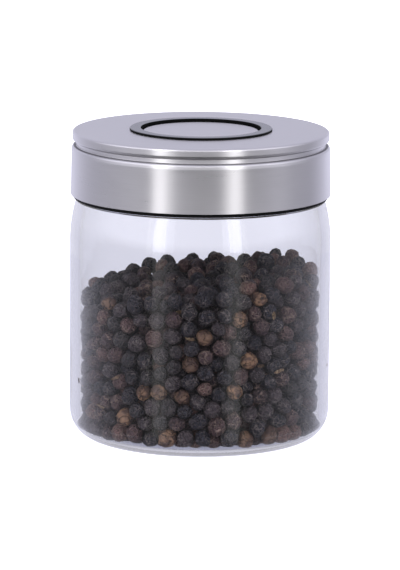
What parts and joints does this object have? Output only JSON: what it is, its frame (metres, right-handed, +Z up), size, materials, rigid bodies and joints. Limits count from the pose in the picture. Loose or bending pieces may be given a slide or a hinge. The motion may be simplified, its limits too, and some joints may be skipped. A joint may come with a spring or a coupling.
{
  "type": "push-button storage jar",
  "caption": "Squat round glass food jar of peppercorns with a brushed steel lid; a latching push button spreads a gasket in the neck, and the lid lifts off.",
  "frame": {"origin": "on the jar's axis, at the plane it stands on", "axes": "+Z up along the jar's axis; -Y faces the viewer of the picture"},
  "size_m": [0.08, 0.08, 0.0956],
  "materials": {
    "clear_glass": "clear soda-lime glass with a faint lavender cast",
    "peppercorns": "dried black peppercorns, wrinkled, dark brown to black",
    "brushed_steel": "satin brushed stainless steel",
    "black_liner": "black polypropylene",
    "glossy_black": "glossy black ABS",
    "silicone": "soft black silicone",
    "white_acetal": "natural white acetal",
    "bright_steel": "bright stainless wire and screws"
  },
  "bodies": {
    "jar": {"glass_jar": "clear_glass", "peppercorn_fill": "peppercorns"},
    "lid": {"steel_cover": "brushed_steel", "lid_housing": "black_liner", "button_ring": "glossy_black", "rim_seal": "silicone", "gasket": "silicone", "base_plate": "black_liner", "latch_barrel": "white_acetal", "base_screw_1": "bright_steel", "base_screw_2": "bright_steel", "base_screw_3": "bright_steel"},
    "button": {"button_disc": "brushed_steel", "button_plunger": "black_liner", "expander_cone": "black_liner", "latch_rotor": "white_acetal", "rotor_screw": "bright_steel", "return_spring": "bright_steel", "cone_screw_1": "bright_steel", "cone_screw_2": "bright_steel", "cone_screw_3": "bright_steel"}
  },
  "joints": [
    {"name": "lid_lift", "type": "slide", "parent": "jar", "child": "lid", "axis": [0, 0, 1], "range_m": [0, 0.05]},
    {"name": "button_travel", "type": "slide", "parent": "lid", "child": "button", "axis": [0, 0, 1], "range_m": [0, 0.006], "deforming": ["return_spring"]}
  ]
}
